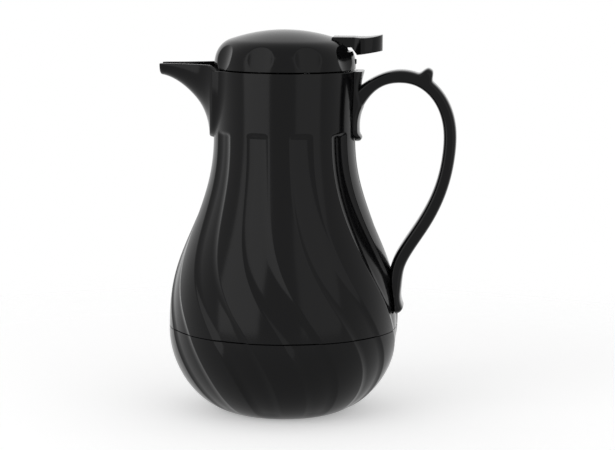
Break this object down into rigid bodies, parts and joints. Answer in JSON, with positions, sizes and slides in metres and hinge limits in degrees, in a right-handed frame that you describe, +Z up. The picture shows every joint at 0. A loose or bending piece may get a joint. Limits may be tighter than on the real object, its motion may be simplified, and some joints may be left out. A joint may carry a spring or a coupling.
{
  "type": "insulated pouring carafe",
  "caption": "Insulated pouring carafe: fluted, swirling pear body, gutter spout, loop handle and a screw-in lid whose thumb lever lifts a sprung valve.",
  "frame": {"origin": "centre of the flat underside, on the body's axis", "axes": "+Z up along the body's axis, -X towards the spout, +X towards the handle, +Y across"},
  "size_m": [0.2059, 0.1602, 0.2668],
  "materials": {
    "gloss_shell": "gloss",
    "inner_plastic": "satin",
    "liner_plastic": "satin",
    "foam": "matte",
    "silicone": "matte",
    "steel": "satin"
  },
  "bodies": {
    "carafe": {"outer_shell_upper": "gloss_shell", "outer_shell_base": "gloss_shell", "fill_plug": "inner_plastic", "inner_liner": "liner_plastic", "foam_insulation": "foam", "handle": "gloss_shell", "handle_screw_upper": "steel", "handle_screw_lower": "steel"},
    "lid_seal": {"stopper_gasket": "silicone"},
    "lid": {"lid_cap": "gloss_shell", "stopper_body": "inner_plastic", "stopper_cover": "inner_plastic", "lid_screw_1": "steel", "lid_screw_2": "steel", "lid_screw_3": "steel", "lever_pin": "steel", "valve_spring": "steel"},
    "lever": {"thumb_lever": "gloss_shell"},
    "valve": {"valve_stem": "inner_plastic", "valve_disc": "inner_plastic", "valve_seal": "silicone", "stem_cap": "inner_plastic"}
  },
  "joints": [
    {"name": "lid_lift", "type": "slide", "parent": "carafe", "child": "lid_seal", "axis": [0, 0, 1], "range_m": [0, 0.06]},
    {"name": "lid_turn", "type": "hinge", "parent": "lid_seal", "child": "lid", "pos_m": [0, 0, 0.2395], "axis": [0, 0, 1], "range_deg": [0, 360]},
    {"name": "lever_press", "type": "hinge", "parent": "lid", "child": "lever", "pos_m": [0.036, 0, 0.257], "axis": [0, 1, 0], "range_deg": [0, 5.5], "stiffness_Nm_per_rad": 0.6, "springref_deg": -2.86},
    {"name": "valve_slide", "type": "slide", "parent": "lid", "child": "valve", "axis": [0, 0, 1], "range_m": [0, 0.0037], "deforming": ["valve_spring"]}
  ],
  "couplings": [
    {"joint": "valve_slide", "follows": "lever_press", "m_per_rad": 0.038}
  ]
}
